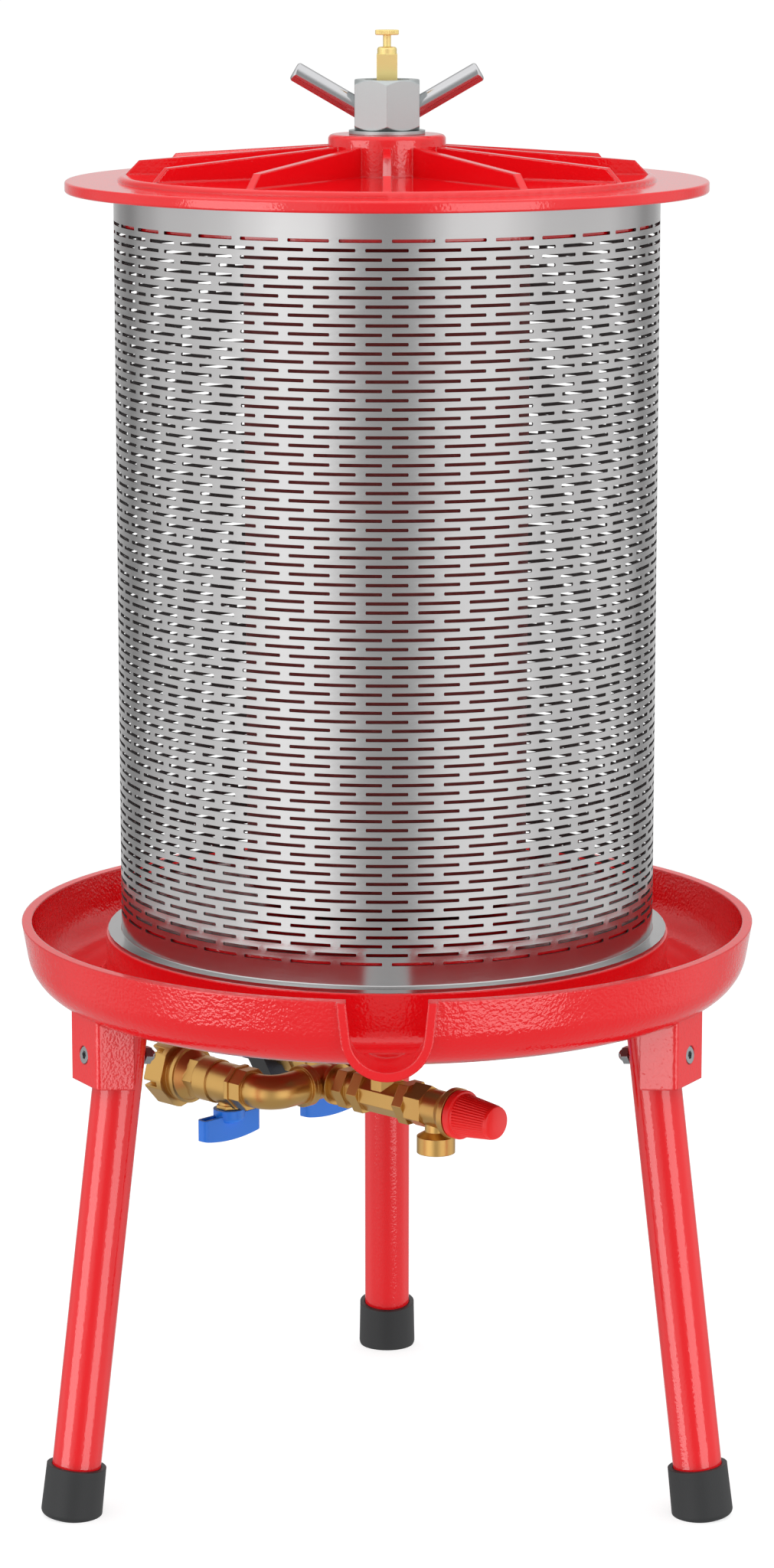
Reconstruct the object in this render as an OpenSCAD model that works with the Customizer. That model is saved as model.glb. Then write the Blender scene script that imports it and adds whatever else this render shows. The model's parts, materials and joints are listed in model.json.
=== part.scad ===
// Hydraulic fruit press: a water-filled bladder squeezes the fruit against a slotted basket.
// The press stands on three legs. Origin: on the floor, at the middle of the outline. +Z up, spout toward -Y.
// Lengths are millimetres, angles are degrees.

/* [Basket] */
// Outside diameter of the basket's wall
basket_d = 330; // [300:1:360]
// Thickness of the basket's sheet
basket_wall = 2; // [1.5:0.1:2.5]
// Height of the basket, from under its flange to its top edge
basket_h = 456; // [400:1:520]
// How far the bottom flange stands out from the wall
flange_w = 8.3; // [6:0.1:10]
// Thickness of the bottom flange
flange_t = 2.3; // [1.8:0.1:3]
// Fillet between the wall and the flange
flange_fillet = 0.8; // [0.5:0.1:4]
// Rows of slots
slot_rows = 20; // [4:1:24]
// Slots in one row
slots_per_row = 17; // [8:1:20]
// Height of one slot
slot_h = 2.2; // [1.5:0.1:3]
// Sheet left between two slots of a row
slot_gap = 6; // [5:0.1:8]
// Height of the lowest row above the underside of the flange
slot_first = 15.5; // [12:0.1:20]
// Distance of the highest row below the top edge
slot_last = 17.6; // [14:0.1:25]

/* [Lid] */
// Diameter of the lid
lid_d = 388.6; // [370:0.1:410]
// Thickness of the lid's rim
lid_t = 6.8; // [5:0.1:9]
// Height of the raised middle above the rim
plateau_h = 3.2; // [2:0.1:5]
// How far the raised middle stays inside the basket's outside
plateau_inset = 2.5; // [1:0.1:6]
// Diameter of the hub
hub_d = 71; // [60:0.5:80]
// Height of the hub above the rim
hub_h = 27.3; // [24:0.1:34]
// Rounding of the hub's top edge
hub_round = 3; // [1:0.1:4]
// Number of stiffening ribs
rib_count = 12; // [6:1:16]
// Thickness of a rib
rib_t = 5; // [4:0.1:7]
// Distance of a rib's top below the hub's top, at the hub
rib_drop = 6.5; // [4:0.1:9]
// Height of a rib above the rim, at its outer top corner
rib_end_h = 11.5; // [8:0.1:14]
// Distance of the rib's outer top corner from the edge of the raised middle
rib_end_inset = 13; // [8:0.1:20]
// Depth of the lid's spigot inside the basket
plug_h = 19; // [14:0.1:26]
// Wall of the spigot
plug_wall = 6; // [4:0.1:9]

/* [Tray] */
// Height of the tray's underside above the floor
stand_h = 306.8; // [280:0.1:340]
// How far the tray's rim stands out beyond the basket's seat
rim_out = 52.2; // [48:0.1:60]
// Height of the tray from its underside to its rim
tray_h = 44.2; // [42:0.1:50]
// Wall of the casting
tray_wall = 6; // [5:0.1:7]
// Radius of the bowl's lower corner
bowl_round = 28.6; // [24:0.1:30]
// Outward slope of the bowl's side
bowl_draft = 9.7; // [6:0.1:12]
// Height of the basket's seat above the tray's underside
ledge_h = 36.2; // [33:0.1:39]
// Width of the seat beyond the flange
ledge_margin = 1.2; // [0.5:0.1:3]
// Height of the centring boss above the seat
boss_h = 17; // [14:0.1:20]
// Thickness of the boss's top plate
boss_plate = 8; // [6:0.1:10]
// Diameter of the tray's centre hub
tray_hub_d = 64; // [54:1:80]

/* [Spout] */
// How far the spout's lip stands out beyond the rim
spout_out = 2.3; // [1.5:0.1:8]
// Outward slope of the spout's sides
spout_draft = 6; // [4:0.5:14]
// Radius of the spout's round bottom
spout_round = 27; // [21:0.1:30]
// Wall of the spout
spout_wall = 5.4; // [4:0.1:7]
// How far the spout's bottom lies below the tray's underside
spout_drop = 2.5; // [1:0.1:4]

/* [Legs] */
// Diameter of the leg tube
leg_d = 30; // [25:0.5:34]
// Wall of the leg tube
leg_wall = 2; // [1.5:0.1:3]
// Lean of each leg
leg_lean = 7.4; // [5:0.1:9]
// Distance of a leg's axis inside the socket's outer face, at the tray's underside
leg_seat = 27.35; // [25:0.05:29]
// Distance of the leg's top end below the tray's underside
leg_top_gap = 6; // [5:0.1:10]
// Width of a leg socket
socket_w = 36.5; // [36:0.1:44]
// How far the socket's outer face stands out from the start of the bowl's corner
socket_out = 16; // [13:0.1:19]
// Depth of a socket, from its outer face toward the axis
socket_depth = 25; // [20:0.1:30]
// Height of a socket below the tray's underside
socket_drop = 39.5; // [34:0.1:44]
// Rounding of a socket's outer corners
socket_round = 3; // [1:0.1:5]
// Diameter of a rubber foot at the floor
foot_d = 37.6; // [35.5:0.1:44]
// Height of a rubber foot along the leg
foot_h = 31; // [24:0.5:40]
// Rubber under the end of the leg
foot_sole = 6; // [4:0.1:10]
// Diameter of a leg bolt
bolt_d = 6; // [5:1:8]

/* [Spindle and bladder] */
// Diameter of the spindle, also its thread's
spindle_d = 27; // [24:0.5:28]
// Bore of the spindle
spindle_bore = 15; // [13:0.5:16]
// Pitch of the spindle's thread
thread_pitch = 3; // [2:0.5:4]
// Diameter of the bladder, empty
bladder_d = 174; // [140:1:200]
// Thickness of the bladder's rubber
bladder_wall = 4; // [3:0.1:6]
// Outside diameter of the bladder's necks
neck_d = 41; // [38:0.5:46]
// Length of a bladder neck
neck_l = 16; // [14:0.5:20]

/* [Handle nut] */
// Width of the nut across its flats
nut_w = 39; // [36:0.5:46]
// Height of the nut
nut_h = 30.2; // [26:0.1:36]
// Diameter of the washer under the nut
washer_d = 46; // [44:0.5:54]
// Thickness of that washer
washer_t = 2.3; // [1.5:0.1:3.5]
// Diameter of a handle rod
rod_d = 12; // [10:0.5:14]
// Length of a handle rod beyond the nut
rod_l = 42; // [30:0.5:70]
// Upward slope of a handle rod
rod_slope = 30; // [15:1:40]

/* [Water fittings] */
// Depth of the fittings' axis below the tray's underside
main_drop = 72.5; // [68:0.5:85]
// Direction of the main line, seen from above
main_turn = -43.5; // [-50:0.5:-40]
// Distance from the spindle back to the side tee
side_tee_at = 55.7; // [54:0.1:62]
// Distance from the side tee out to the inlet valve's line
inlet_offset = 47; // [45:0.5:54]
// Distance from the side tee out to the drain valve's line
drain_offset = 40; // [38:0.5:54]
// Distance from the inlet valve's stem to its elbow's corner
inlet_reach = 38; // [34:0.1:42]
// Distance from the drain valve's stem to its elbow's corner
drain_reach = 33.5; // [33:0.1:40]
// Radius of the flow passage
flow_r = 6.5; // [5:0.1:7]
// Radius of a threaded end
spigot_r = 9; // [8.5:0.1:9.2]
// Length of a threaded end
spigot_l = 9; // [7:0.1:9.5]
// Radius of a fitting's plain body
pipe_r = 11; // [10.8:0.1:12]
// Radius of a fitting's end ring
ring_r = 13.3; // [12.5:0.1:14]
// Radius of a valve's ball
ball_r = 9.5; // [9:0.1:9.8]
// Length of a blue valve handle
grip_l = 50; // [40:1:60]
// Thickness of a blue valve handle
grip_t = 8; // [7:0.1:10]
// Radius of the claw coupling
coupling_r = 20.5; // [19:0.1:22]
// Distance of the relief valve's outlet from the spindle
outlet_at = 42; // [40:0.1:48]
// Radius of the relief valve's outlet cup
outlet_r = 12; // [11.5:0.1:13]
// Thread radius of the outlet
outlet_thread_r = 9.3; // [8.5:0.1:10]
// Length of the red relief cap
cap_l = 32; // [26:0.5:40]
// Radius of the red cap's skirt
cap_r = 15.4; // [14.6:0.1:18]
// Radius of the red cap's end
cap_end_r = 10.5; // [9:0.1:12]

/* [Bleed valve] */
// Width of the bleed valve's square body
bleed_w = 12.4; // [12:0.1:15]
// Height of the body with its round collar
bleed_h = 21.3; // [18:0.1:26]
// Height of the round collar on the square body
bleed_collar_h = 4.2; // [3:0.1:5]
// Diameter of the knurled screw head
bleed_head_d = 14.2; // [12:0.1:17]
// Thickness of the screw head
bleed_head_t = 2.3; // [2:0.1:5]
// Diameter of the screw's stem
bleed_stem_d = 4.8; // [4.4:0.1:6.5]
// Length of the stem in view
bleed_stem_l = 7.4; // [5:0.1:10]

/* [Hidden] */
$fn = 96;

// Overrun of every cut, and the clearances
over = 1;
fit = 0.25;
slip = 0.5;
slide_fit = 0.1;

// Heights of the stacked pieces
rim_z = stand_h + tray_h;
ledge_z = stand_h + ledge_h;
boss_z = ledge_z + boss_h;
basket_top_z = ledge_z + basket_h;
lid_top_z = basket_top_z + lid_t;
hub_z = lid_top_z + hub_h;
washer_z = hub_z + washer_t;
nut_top_z = washer_z + nut_h;
main_z = stand_h - main_drop;

// Radii that several pieces share
basket_r = basket_d / 2;
basket_bore_r = basket_r - basket_wall;
flange_r = basket_r + flange_w;
ledge_r = flange_r + ledge_margin;
boss_r = basket_bore_r - slip;
rim_r = ledge_r + rim_out;
spout_reach = rim_r + spout_out;
spindle_r = spindle_d / 2;
spindle_hole_r = spindle_r + slip;
tray_hub_r = tray_hub_d / 2;

// The bowl's corner arc
corner_z = stand_h + bowl_round;
side_foot_z = corner_z - bowl_round * sin(bowl_draft);
side_foot_r = rim_r - (rim_z - side_foot_z) * tan(bowl_draft);
corner_r = side_foot_r - bowl_round * cos(bowl_draft);
gutter_fillet = 8;

// The legs' places
socket_reach = corner_r + socket_out;
leg_spread = socket_reach - leg_seat + stand_h * tan(leg_lean);

// The spindle's place: the outline from the spout's lip to the back foot is centred on the origin
foot_edge = 4;
foot_sink = 1.5;
back_reach = leg_spread + (foot_d / 2 - foot_edge) * cos(leg_lean) - (foot_edge - foot_sink) * sin(leg_lean)
    + foot_edge;
axis_y = (spout_reach - back_reach) / 2;

// Leg frame: the leg's length, the bolt's height and the socket's reach along the leg
leg_turns = [210, 330, 90];
leg_end = (stand_h - leg_top_gap) / cos(leg_lean);
bolt_drop = 15.6;
bolt_up = leg_end - bolt_drop;
bolt_head_r = 5.3;
bolt_head_t = 3.6;
bolt_hex_w = 4.6;
bolt_hex_deep = 2.6;
bolt_r = bolt_d / 2;
bolt_seat = (socket_reach - leg_spread) * cos(leg_lean) + bolt_up * sin(leg_lean) - bolt_head_t;
leg_nut_w = 10;
leg_nut_t = 4.5;
leg_nut_dome = 4;
foot_taper = 0.5;
foot_fit = 0.15;

// Lid details
plateau_r = basket_r - plateau_inset;
plateau_z = lid_top_z + plateau_h;
rib_foot_inset = 5;
edge_round = 1.5;

// Spindle details
collar_r = 24;
collar_t = 8;
gasket_t = 3;
gasket_r = 23;
collar_z = boss_z + gasket_t;
spindle_top_gap = 2;
spindle_top_z = nut_top_z - spindle_top_gap;
spindle_foot_h = 27;
spindle_foot_z = main_z + spindle_foot_h;
water_hole_r = 4;
water_hole_shares = [0.3, 0.7];
locknut_w = 41;
locknut_t = 14;

// Bladder details: the necks seat on the spindle, just above the collar and below the lid
bladder_r = bladder_d / 2;
neck_r = neck_d / 2;
bladder_fit = 0.3;
bladder_foot_z = collar_z + collar_t + bladder_fit;
bladder_head_gap = 8;
bladder_head_z = basket_top_z - plug_h - bladder_head_gap;
shoulder_h = 34;
clamp_t = 2;
clamp_w = 10;
clamp_box = [9, 16, 8];

// Nut details
nut_chamfer = 3.4;
nut_chamfer_slope = 40;
thread_fit = 0.1;
rod_up = 14.3;
rod_round = 2;

// Bleed valve details
bleed_z = spindle_top_z;
bleed_top_z = bleed_z + bleed_h;
bleed_collar_inset = 0.35;
bleed_collar_round = 1.6;
bleed_spigot_l = 12;
bleed_bore_r = 1.6;
bleed_seat_up = 9;
bleed_seal_t = 2;
bleed_vent_r = 1.5;
bleed_edge = 0.5;
bleed_stem_fit = 0.1;
bleed_seal_r = bleed_stem_d / 2 - bleed_stem_fit;

// Fitting details, measured along each fitting's own axis
ring_w = 3;
port_r = spigot_r + fit;
port_l = spigot_l + fit;
tee_back = 22;
tee_front = 25;
tee_up = 24;
tee_flat = 22;
tee_branch_w = 20.4;
tee_collar_w = 25;
tee_collar_l = 8;
side_tee_half = 18;
side_tee_out = 14;
nipple_hex_w = 24;
nipple_hex_l = 8;
elbow_bend = 12.2;
elbow_flat_w = 25.4;
elbow_flat_l = 9.5;
valve_back = 20;
valve_front = 12;
valve_collar_l = 11.5;
valve_collar_r = 14;
valve_body_r = 13;
valve_flat_w = 27;
valve_ring_l = 3;
cavity_r = 10.2;
cavity_half = 7.5;
seat_half = 4.5;
seat_r = 6.7;
ball_flow_r = 5.5;
ball_fit = 0.05;
stem_r = 4;
tang_w = 4;
tang_l = 3;
tang_fit = 0.1;
neck_out_r = 7;
neck_down = 13.3;
gland_w = 14;
gland_t = 2.3;
hub_down = 15.9;
grip_hub_r = 10;
grip_hub_l = 6.5;
grip_hub_floor = 1.6;
grip_hub_round = 3;
grip_round = 3;
grip_top = 19.5;
grip_depth = 13.5;
grip_bulge = 2.8;
grip_shell = 1.6;
grip_pocket = 9;
grip_screw_r = 2.7;
grip_screw_t = 2;
grip_screw_shank_r = 1.5;
grip_screw_l = 10;
coupling_hex_w = 25;
coupling_hex_l = 8;
coupling_cone_l = 5;
coupling_flange_t = 3;
coupling_flange_r = 18.4;
coupling_neck_l = 4;
coupling_neck_r = 17.2;
coupling_claw_l = 15;
coupling_claws = 6;
coupling_claw_edge = 1.6;
coupling_turn = 12.5;
coupling_gap = 3.5;
coupling_gap_l = 11;
coupling_root_r = 16.8;
coupling_bore_r = 10;
coupling_bore_l = 17;
seal_r = 15;
seal_t = 4;
seal_proud = 0.5;
drain_nipple_l = 20;
drain_hex_w = 38;
drain_hex_l = 16;
drain_tail_l = 18;
drain_tail_r = 12;
relief_hex_w = 24;
relief_hex_l = 13.5;
relief_barrel_r = 12;
relief_barrel_l = 12;
relief_flare_l = 6;
relief_lip_r = 15.9;
relief_lip_l = 4;
relief_pin_r = 8;
relief_pin_l = 5;
outlet_drop = 28;
outlet_cup_l = 10.5;
outlet_neck_r = 7;
outlet_cone_l = 3;
cap_skirt_l = 5;
cap_cone_r = 13.6;
cap_round = 1.2;
cap_gap = 0.3;

// Colours
red = [0.86, 0.14, 0.15];
steel = [0.75, 0.76, 0.77];
brass = [0.78, 0.62, 0.35];
blue = [0.16, 0.42, 0.84];
rubber = [0.22, 0.23, 0.23];
brown = [0.30, 0.14, 0.12];
white = [0.93, 0.93, 0.90];
black = [0.08, 0.08, 0.08];

// General shapes

// A round bar along X between two places
module bar(r, from, to) {
    translate([from, 0, 0]) rotate([0, 90, 0]) cylinder(r = r, h = to - from);
}

// A prism with flat sides along X, set by its width across the flats
module flat_bar(width, sides, from, to) {
    translate([from, 0, 0]) rotate([0, 90, 0]) rotate([0, 0, 180 / sides])
        cylinder(r = width / 2 / cos(180 / sides), h = to - from, $fn = sides);
}

// A bar along X that narrows evenly
module cone_bar(r_from, r_to, from, to) {
    translate([from, 0, 0]) rotate([0, 90, 0]) cylinder(r1 = r_from, r2 = r_to, h = to - from);
}

// A plain ring around Z
module ring(r_out, r_in, from, to) {
    rotate_extrude() translate([r_in, from]) square([r_out - r_in, to - from]);
}

// A hexagonal nut blank around Z, with its corners turned down at both ends
module nut_blank(width, height, chamfer) {
    corner = width / 2 / cos(30);
    rise = chamfer * tan(nut_chamfer_slope);
    intersection() {
        rotate([0, 0, 30]) cylinder(r = corner, h = height, $fn = 6);
        rotate_extrude() polygon([[0, 0], [corner - chamfer, 0], [corner, rise],
            [corner, height - rise], [corner - chamfer, height], [0, height]]);
    }
}

// Moves its children onto the spindle's axis
module on_axis() {
    translate([0, axis_y, 0]) children();
}

// Moves its children to a place on the water line: along it, across it and up from its axis
module on_line(along = 0, across = 0) {
    on_axis() rotate([0, 0, main_turn]) translate([along, across, main_z]) children();
}

// Turns its children into a leg's own frame: Z along the leg, X outward, origin at the floor
module leg_frame(turn) {
    rotate([0, 0, turn]) translate([leg_spread, 0, 0]) rotate([0, -leg_lean, 0]) children();
}

module on_leg(turn) {
    on_axis() leg_frame(turn) children();
}

// Tray

// Half section of the bowl's fill, moved in from its outer skin
module bowl_section(inset) {
    arc = bowl_round - inset;
    rim_in = rim_r - inset / cos(bowl_draft);
    polygon([[0, corner_z - arc], [corner_r, corner_z - arc],
        [corner_r + arc * cos(bowl_draft), corner_z - arc * sin(bowl_draft)],
        [rim_in + (inset > 0 ? over * tan(bowl_draft) : 0), rim_z + (inset > 0 ? over : 0)],
        [0, rim_z + (inset > 0 ? over : 0)]]);
    intersection() {
        translate([corner_r, corner_z]) circle(r = arc);
        translate([corner_r, corner_z - arc]) square([arc, arc]);
    }
}

// Half section of the hollow under the boss
module under_section() {
    wall_r = ledge_r - tray_wall;
    step_z = ledge_z - tray_wall;
    inner_r = boss_r - tray_wall;
    roof_z = boss_z - boss_plate;
    polygon([[tray_hub_r, stand_h - over], [wall_r, stand_h - over], [wall_r, step_z],
        [inner_r, step_z], [inner_r, roof_z], [tray_hub_r, roof_z]]);
}

// Half section of the gutter between the bowl's side and the seat
module gutter_section() {
    difference() {
        bowl_section(tray_wall);
        translate([0, stand_h]) square([ledge_r, tray_h + 2 * over]);
        translate([ledge_r, stand_h + tray_wall]) difference() {
            square(gutter_fillet);
            translate([gutter_fillet, gutter_fillet]) circle(r = gutter_fillet);
        }
    }
}

// End view of the spout: a round bottom with sides that open upward
module spout_section(inset, top_extra) {
    round_z = stand_h - spout_drop + spout_round;
    r = spout_round - inset;
    foot_r = r * cos(spout_draft / 2);
    foot_x = foot_r * cos(spout_draft);
    foot_z = round_z - foot_r * sin(spout_draft);
    top_z = rim_z + top_extra;
    top_x = foot_x + (top_z - foot_z) * tan(spout_draft);
    union() {
        translate([0, round_z]) intersection() {
            circle(r = r);
            translate([-r, -r]) square([2 * r, r]);
        }
        polygon([[-foot_x, foot_z], [foot_x, foot_z], [top_x, top_z], [-top_x, top_z]]);
    }
}

module spout_block(inset, from, to, top_extra) {
    translate([0, -from, 0]) rotate([90, 0, 0]) linear_extrude(height = to - from)
        spout_section(inset, top_extra);
}

// One leg socket, cast under the bowl, square to the leg at its foot
module socket_block(turn) {
    top = side_foot_z;
    inner = socket_reach - socket_depth;
    foot_out_z = stand_h - socket_drop + socket_depth * sin(leg_lean);
    foot_in_z = stand_h - socket_drop;
    difference() {
        rotate([0, 0, turn]) intersection() {
            rotate([90, 0, 0]) translate([0, 0, -socket_w / 2]) linear_extrude(height = socket_w)
                polygon([[inner, foot_in_z], [socket_reach, foot_out_z], [socket_reach, top], [inner, top]]);
            translate([0, 0, foot_in_z - over]) linear_extrude(height = top - foot_in_z + 2 * over)
                socket_plan(inner);
        }
        rotate_extrude() bowl_section(tray_wall / 2);
    }
}

module socket_plan(inner) {
    half = socket_w / 2;
    translate([inner, -half]) square([socket_depth - socket_round, socket_w]);
    translate([inner, -half + socket_round]) square([socket_depth, socket_w - 2 * socket_round]);
    for (side = [-1, 1])
        translate([socket_reach - socket_round, side * (half - socket_round)]) circle(r = socket_round);
}

// The room for the leg and its bolt inside a socket
module socket_cut(turn) {
    leg_frame(turn) {
        cylinder(r = leg_d / 2 + fit, h = leg_end + fit);
        translate([0, 0, bolt_up]) bar(bolt_r + fit, 0, bolt_seat + over);
        translate([0, 0, bolt_up]) bar(bolt_head_r + fit, bolt_seat, bolt_seat + bolt_head_t + socket_depth);
    }
}

module tray() {
    color(red) on_axis() difference() {
        union() {
            difference() {
                union() {
                    rotate_extrude() {
                        bowl_section(0);
                        translate([0, stand_h]) square([boss_r, boss_z - stand_h]);
                    }
                    spout_block(0, corner_r, spout_reach, 0);
                }
                rotate_extrude() gutter_section();
                rotate_extrude() ledge_cut_section();
            }
            for (turn = leg_turns) socket_block(turn);
        }
        rotate_extrude() under_section();
        spout_block(spout_wall, corner_r, spout_reach + over, over);
        for (turn = leg_turns) socket_cut(turn);
        translate([0, 0, stand_h - over]) cylinder(r = spindle_r + fit, h = boss_z - stand_h + 2 * over);
    }
}

// Half section of the step from the rim's height down to the basket's seat
module ledge_cut_section() {
    translate([boss_r, ledge_z]) square([ledge_r - boss_r + over, boss_z - ledge_z + over]);
}

// Legs, feet and their fasteners

module leg(turn) {
    color(red) difference() {
        on_leg(turn) difference() {
            translate([0, 0, foot_sole]) cylinder(d = leg_d, h = leg_end - foot_sole);
            translate([0, 0, foot_sole - over]) cylinder(d = leg_d - 2 * leg_wall, h = leg_end + over);
            translate([0, 0, bolt_up]) bar(bolt_r + fit, -leg_d, leg_d);
        }
    }
}

module leg_left() { leg(leg_turns[0]); }
module leg_right() { leg(leg_turns[1]); }
module leg_back() { leg(leg_turns[2]); }

module foot(turn) {
    r = foot_d / 2;
    top_r = r - foot_taper;
    color(rubber) difference() {
        on_leg(turn) difference() {
            rotate_extrude() {
                polygon([[0, -foot_sink], [r - foot_edge, -foot_sink], [r - foot_edge, foot_edge - foot_sink],
                    [r, foot_edge - foot_sink], [top_r, foot_h], [0, foot_h]]);
                translate([r - foot_edge, foot_edge - foot_sink]) intersection() {
                    circle(r = foot_edge);
                    translate([0, -foot_edge]) square(foot_edge);
                }
            }
            translate([0, 0, foot_sole]) cylinder(r = leg_d / 2 + foot_fit, h = foot_h);
        }
        on_axis() rotate([0, 0, turn]) translate([leg_spread - foot_d, -foot_d, -foot_d])
            cube([2 * foot_d, 2 * foot_d, foot_d]);
    }
}

module foot_left() { foot(leg_turns[0]); }
module foot_right() { foot(leg_turns[1]); }
module foot_back() { foot(leg_turns[2]); }

module leg_bolts() {
    tip = -leg_d / 2 - leg_nut_t;
    color(steel) for (turn = leg_turns) on_leg(turn) translate([0, 0, bolt_up]) difference() {
        union() {
            bar(bolt_r, tip, bolt_seat + bolt_head_t);
            bar(bolt_head_r, bolt_seat, bolt_seat + bolt_head_t);
        }
        flat_bar(bolt_hex_w, 6, bolt_seat + bolt_head_t - bolt_hex_deep, bolt_seat + bolt_head_t + over);
    }
}

// Domed cap nuts on the inner side of the legs
module leg_nuts() {
    face = -leg_d / 2 - foot_fit;
    color(steel) for (turn = leg_turns) on_leg(turn) translate([0, 0, bolt_up]) difference() {
        union() {
            flat_bar(leg_nut_w, 6, face - leg_nut_t, face);
            translate([face - leg_nut_t, 0, 0]) intersection() {
                sphere(r = leg_nut_dome);
                translate([-2 * leg_nut_dome, -leg_nut_dome, -leg_nut_dome]) cube(2 * leg_nut_dome);
            }
        }
        bar(bolt_r + slide_fit, face - leg_nut_t - over, face + over);
    }
}

// Spindle

module spindle() {
    foot_r = spigot_r;
    span = bladder_head_z - bladder_foot_z;
    color(steel) on_axis() difference() {
        union() {
            translate([0, 0, spindle_foot_z]) cylinder(r = spindle_r, h = spindle_top_z - spindle_foot_z);
            translate([0, 0, collar_z]) cylinder(r = collar_r, h = collar_t);
            translate([0, 0, main_z + tee_up - spigot_l]) cylinder(r = foot_r, h = spindle_foot_h);
        }
        translate([0, 0, spindle_foot_z]) cylinder(r = spindle_bore / 2, h = spindle_top_z);
        translate([0, 0, main_z]) cylinder(r = flow_r, h = 2 * spindle_foot_h);
        for (share = water_hole_shares)
            translate([0, 0, bladder_foot_z + share * span]) bar(water_hole_r, -2 * spindle_r, 2 * spindle_r);
    }
}

module spindle_gasket() {
    color(rubber) on_axis() ring(gasket_r, spindle_r + fit, boss_z, collar_z);
}

module spindle_locknut() {
    color(steel) on_axis() translate([0, 0, stand_h - locknut_t]) difference() {
        nut_blank(locknut_w, locknut_t, nut_chamfer);
        translate([0, 0, -over]) cylinder(r = spindle_r + thread_fit, h = locknut_t + 2 * over);
    }
}

// Bladder

// Half section of the bladder: straight necks, round shoulders and a straight side
module bladder_section(inset) {
    low = bladder_foot_z + neck_l + inset;
    high = bladder_head_z - neck_l - inset;
    r = bladder_r - inset;
    inner = spindle_r + bladder_fit;
    reach = r - shoulder_h;
    translate([inner, low]) square([reach - inner, high - low]);
    translate([inner, low + shoulder_h]) square([r - inner, high - low - 2 * shoulder_h]);
    for (z = [low + shoulder_h, high - shoulder_h]) translate([reach, z]) circle(r = shoulder_h);
}

module bladder() {
    inner = spindle_r + bladder_fit;
    color(brown) on_axis() rotate_extrude() difference() {
        union() {
            bladder_section(0);
            translate([inner, bladder_foot_z])
                square([neck_r - inner, bladder_head_z - bladder_foot_z]);
        }
        bladder_section(bladder_wall);
    }
}

// A band clamp round a neck, with its worm screw's housing
module band_clamp(middle) {
    inner = neck_r + bladder_fit;
    color(steel) on_axis() {
        ring(inner + clamp_t, inner, middle - clamp_w / 2, middle + clamp_w / 2);
        difference() {
            translate([inner + clamp_t / 2, -clamp_box[1] / 2, middle - clamp_box[2] / 2]) cube(clamp_box);
            translate([0, 0, middle - clamp_w]) cylinder(r = inner + clamp_t / 2, h = 2 * clamp_w);
        }
    }
}

module bladder_clamp_bottom() { band_clamp(bladder_foot_z + neck_l / 2); }
module bladder_clamp_top() { band_clamp(bladder_head_z - neck_l / 2); }

// Basket

module basket_section() {
    translate([basket_bore_r, ledge_z]) square([basket_wall, basket_h]);
    translate([basket_bore_r, ledge_z]) square([basket_wall + flange_w, flange_t]);
    translate([basket_r, ledge_z + flange_t]) difference() {
        square(flange_fillet);
        translate([flange_fillet, flange_fillet]) circle(r = flange_fillet);
    }
}

// One row of slots, cut as a ring that is interrupted at the gaps
module slot_row(z, shift) {
    inner = basket_bore_r - basket_wall;
    outer = basket_r + basket_wall;
    turn = 360 / slots_per_row;
    rotate([0, 0, shift * turn]) difference() {
        ring(outer, inner, z - slot_h / 2, z + slot_h / 2);
        for (k = [0:slots_per_row - 1]) rotate([0, 0, k * turn])
            translate([inner - over, -slot_gap / 2, z - slot_h])
                cube([outer - inner + 2 * over, slot_gap, 2 * slot_h]);
    }
}

module basket() {
    span = basket_h - slot_first - slot_last;
    pitch = span / (slot_rows - 1);
    color(steel) on_axis() difference() {
        rotate_extrude() basket_section();
        for (row = [0:slot_rows - 1])
            slot_row(ledge_z + slot_first + row * pitch, (row % 2) / 2);
    }
}

// Lid

module lid_section() {
    hub_r = hub_d / 2;
    lid_r = lid_d / 2;
    // rim and raised middle
    translate([0, basket_top_z]) square([lid_r - edge_round, lid_t]);
    translate([0, basket_top_z + edge_round]) square([lid_r, lid_t - 2 * edge_round]);
    for (z = [basket_top_z + edge_round, lid_top_z - edge_round])
        translate([lid_r - edge_round, z]) circle(r = edge_round);
    translate([0, basket_top_z]) square([plateau_r - plateau_h, lid_t + plateau_h]);
    translate([plateau_r - plateau_h, lid_top_z]) intersection() {
        circle(r = plateau_h);
        square(plateau_h);
    }
    // hub with a rounded top edge
    translate([0, basket_top_z]) square([hub_r, hub_z - hub_round - basket_top_z]);
    translate([0, basket_top_z]) square([hub_r - hub_round, hub_z - basket_top_z]);
    translate([hub_r - hub_round, hub_z - hub_round]) circle(r = hub_round);
    // spigot inside the basket
    translate([boss_r - plug_wall, basket_top_z - plug_h]) square([plug_wall, plug_h + lid_t / 2]);
}

// One rib: it falls from the hub to its outer top corner, then slants down to its foot
module rib() {
    root_r = hub_d / 2 - hub_round;
    rotate([90, 0, 0]) translate([0, 0, -rib_t / 2]) linear_extrude(height = rib_t)
        polygon([[root_r, lid_top_z], [root_r, hub_z - rib_drop],
            [plateau_r - rib_end_inset, lid_top_z + rib_end_h],
            [plateau_r - rib_foot_inset, plateau_z], [plateau_r - rib_foot_inset, lid_top_z]]);
}

module lid() {
    color(red) on_axis() difference() {
        union() {
            rotate_extrude() lid_section();
            for (k = [0:rib_count - 1]) rotate([0, 0, 270 + k * 360 / rib_count]) rib();
        }
        translate([0, 0, basket_top_z - over]) cylinder(r = spindle_hole_r, h = hub_z);
    }
}

// Handle nut

module lid_washer() {
    color(steel) on_axis() ring(washer_d / 2, spindle_r + fit, hub_z, washer_z);
}

module handle_nut() {
    color(steel) on_axis() translate([0, 0, washer_z]) difference() {
        nut_blank(nut_w, nut_h, nut_chamfer);
        translate([0, 0, -over]) cylinder(r = spindle_r + thread_fit, h = nut_h + 2 * over);
    }
}

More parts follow.
